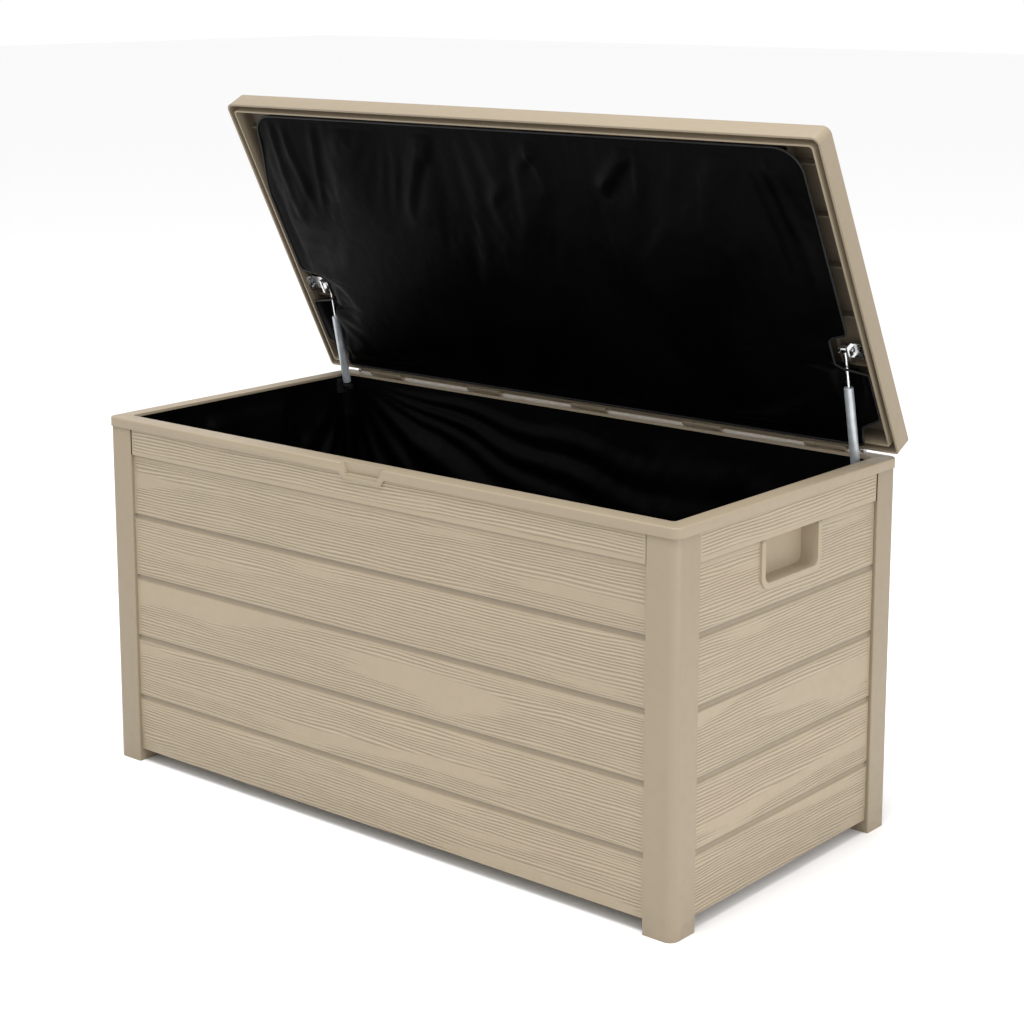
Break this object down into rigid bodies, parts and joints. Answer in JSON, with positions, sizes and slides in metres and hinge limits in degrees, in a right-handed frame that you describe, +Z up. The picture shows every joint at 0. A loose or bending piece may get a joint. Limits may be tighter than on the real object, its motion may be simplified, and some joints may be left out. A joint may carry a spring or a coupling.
{
  "type": "storage bench",
  "caption": "Outdoor resin storage bench with plank-look sides, corner posts, handle pockets, a fabric liner and a hinged seat lid held open by gas struts.",
  "frame": {"origin": "on the floor, under the middle of the box; the lid rests open", "axes": "+X to the right along the long side, +Y from the front to the hinged rear side, +Z up"},
  "size_m": [1.236, 0.5964, 1.1426],
  "materials": {
    "resin": "embossed wood grain, satin",
    "resin_trim": "smooth satin",
    "liner_fabric": "thin woven polyester",
    "cover_fabric": "coated satin polyester",
    "piping_fabric": "grey bound edge",
    "steel": "zinc plated",
    "strut_tube": "light grey paint",
    "chrome": "polished"
  },
  "bodies": {
    "box": {"corner_post_front_right": "resin", "corner_post_front_left": "resin", "corner_post_rear_right": "resin", "corner_post_rear_left": "resin", "front_panel": "resin", "rear_panel": "resin", "right_panel": "resin", "left_panel": "resin", "panel_screws": "steel", "top_rim": "resin_trim", "floor_panel": "resin_trim", "inner_liner": "liner_fabric", "liner_hook_strip": "liner_fabric", "rim_hinge_knuckles": "resin_trim", "rim_hinge_screws": "steel", "hinge_rod": "steel", "hinge_rod_caps": "steel", "lower_strut_bracket_right": "steel", "lower_strut_bracket_left": "steel", "lower_strut_pin_right": "steel", "lower_strut_pin_left": "steel", "lower_bracket_screws": "steel"},
    "lid": {"lid_shell": "resin", "lid_hinge_knuckles": "resin_trim", "lid_hinge_screws": "steel", "lid_reinforcing_tubes": "steel", "lid_tube_screws": "steel", "lid_cover": "cover_fabric", "lid_cover_piping": "piping_fabric", "lid_strut_bracket_right": "chrome", "lid_strut_bracket_left": "chrome", "lid_bracket_screws": "steel"},
    "strut_body_right": {"strut_cylinder_right": "strut_tube", "strut_lower_eye_right": "steel"},
    "strut_piston_right": {"strut_rod_right": "chrome", "strut_upper_eye_right": "chrome", "strut_upper_pin_right": "steel", "strut_r_clip_right": "steel"},
    "strut_body_left": {"strut_cylinder_left": "strut_tube", "strut_lower_eye_left": "steel"},
    "strut_piston_left": {"strut_rod_left": "chrome", "strut_upper_eye_left": "chrome", "strut_upper_pin_left": "steel", "strut_r_clip_left": "steel"}
  },
  "joints": [
    {"name": "lid_hinge", "type": "hinge", "parent": "box", "child": "lid", "pos_m": [0, 0.277, 0.617], "axis": [1, 0, 0], "range_deg": [0, 63]},
    {"name": "strut_swing_right", "type": "hinge", "parent": "box", "child": "strut_body_right", "pos_m": [0.555, 0.246, 0.589], "axis": [1, 0, 0], "range_deg": [0, 62.5]},
    {"name": "strut_slide_right", "type": "slide", "parent": "strut_body_right", "child": "strut_piston_right", "axis": [0, -0.2102, 0.9777], "range_m": [-0.0481, 0]},
    {"name": "strut_swing_left", "type": "hinge", "parent": "box", "child": "strut_body_left", "pos_m": [-0.555, 0.246, 0.589], "axis": [1, 0, 0], "range_deg": [0, 62.5]},
    {"name": "strut_slide_left", "type": "slide", "parent": "strut_body_left", "child": "strut_piston_left", "axis": [0, -0.2102, 0.9777], "range_m": [-0.0481, 0]}
  ],
  "couplings": [
    {"joint": "strut_swing_right", "follows": "lid_hinge", "ratio": 0.9897},
    {"joint": "strut_slide_right", "follows": "lid_hinge", "m_per_rad": -0.04366},
    {"joint": "strut_swing_left", "follows": "lid_hinge", "ratio": 0.9897},
    {"joint": "strut_slide_left", "follows": "lid_hinge", "m_per_rad": -0.04366}
  ]
}
